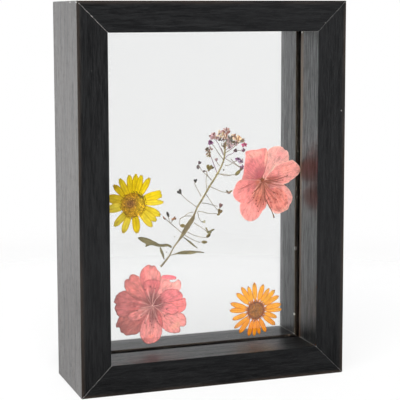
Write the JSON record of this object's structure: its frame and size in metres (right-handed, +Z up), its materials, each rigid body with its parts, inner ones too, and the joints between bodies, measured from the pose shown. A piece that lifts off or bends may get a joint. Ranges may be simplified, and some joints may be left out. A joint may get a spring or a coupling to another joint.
{
  "type": "pressed flower frame",
  "caption": "Free-standing mitred frame that holds pressed flowers and a sprig between clear panes seated in a groove at mid depth.",
  "frame": {"origin": "centre of the flat face that the frame stands on", "axes": "+Z up along the frame's height, +Y from the front face to the back face, +X to the right seen from the front"},
  "size_m": [0.131, 0.045, 0.18],
  "materials": {
    "foil": "satin black wood-grain foil on fibreboard",
    "glass": "clear, polished",
    "yellow_petal": "dry pressed petal, matte, slightly see-through",
    "yellow_disc": "dry disc florets, matte",
    "orange_petal": "dry pressed petal, matte, slightly see-through",
    "orange_disc": "dry disc florets, matte",
    "pink_petal": "dry pressed petal, matte, slightly see-through",
    "salmon_petal": "dry pressed petal, matte, slightly see-through",
    "calyx": "dry sepals, matte",
    "stem": "dry stem, matte",
    "leaf": "dry leaf, matte",
    "stamen": "dry filaments and anthers, matte",
    "pod": "dry seed pods, matte",
    "floret": "dry florets, matte"
  },
  "bodies": {
    "root": {"left_stile": "foil", "right_stile": "foil", "top_rail": "foil", "bottom_rail": "foil", "front_glass": "glass", "back_glass": "glass", "yellow_daisy_disc": "yellow_disc", "yellow_daisy_involucre": "leaf", "yellow_daisy_ray_01": "yellow_petal", "yellow_daisy_ray_02": "yellow_petal", "yellow_daisy_ray_03": "yellow_petal", "yellow_daisy_ray_04": "yellow_petal", "yellow_daisy_ray_05": "yellow_petal", "yellow_daisy_ray_06": "yellow_petal", "yellow_daisy_ray_07": "yellow_petal", "yellow_daisy_ray_08": "yellow_petal", "yellow_daisy_ray_09": "yellow_petal", "yellow_daisy_ray_10": "yellow_petal", "yellow_daisy_ray_11": "yellow_petal", "yellow_daisy_ray_12": "yellow_petal", "yellow_daisy_ray_13": "yellow_petal", "yellow_daisy_ray_14": "yellow_petal", "yellow_daisy_ray_15": "yellow_petal", "yellow_daisy_ray_16": "yellow_petal", "orange_daisy_disc": "orange_disc", "orange_daisy_involucre": "leaf", "lower_blossom_petal_top": "pink_petal", "lower_blossom_petal_upper_right": "pink_petal", "lower_blossom_petal_right_high": "pink_petal", "lower_blossom_petal_right": "pink_petal", "lower_blossom_petal_lower_right": "pink_petal", "lower_blossom_petal_bottom": "pink_petal", "lower_blossom_petal_lower_left": "pink_petal", "lower_blossom_petal_left": "pink_petal", "lower_blossom_petal_upper_left": "pink_petal", "lower_blossom_petal_inner_top": "pink_petal", "lower_blossom_petal_inner_right": "pink_petal", "lower_blossom_petal_inner_bottom": "pink_petal", "lower_blossom_petal_inner_left": "pink_petal", "lower_blossom_calyx": "calyx", "upper_blossom_petal_upper_left": "salmon_petal", "upper_blossom_petal_upper_right": "salmon_petal", "upper_blossom_petal_right": "salmon_petal", "upper_blossom_petal_lower_right": "salmon_petal", "upper_blossom_petal_inner_right": "salmon_petal", "upper_blossom_petal_bottom": "salmon_petal", "upper_blossom_petal_left": "salmon_petal", "upper_blossom_calyx": "calyx", "upper_blossom_pistil": "calyx", "sprig_stem": "stem", "sprig_leaf_1": "leaf", "sprig_leaf_2": "leaf", "sprig_leaf_3": "leaf", "sprig_leaf_4": "leaf"}
  },
  "joints": []
}
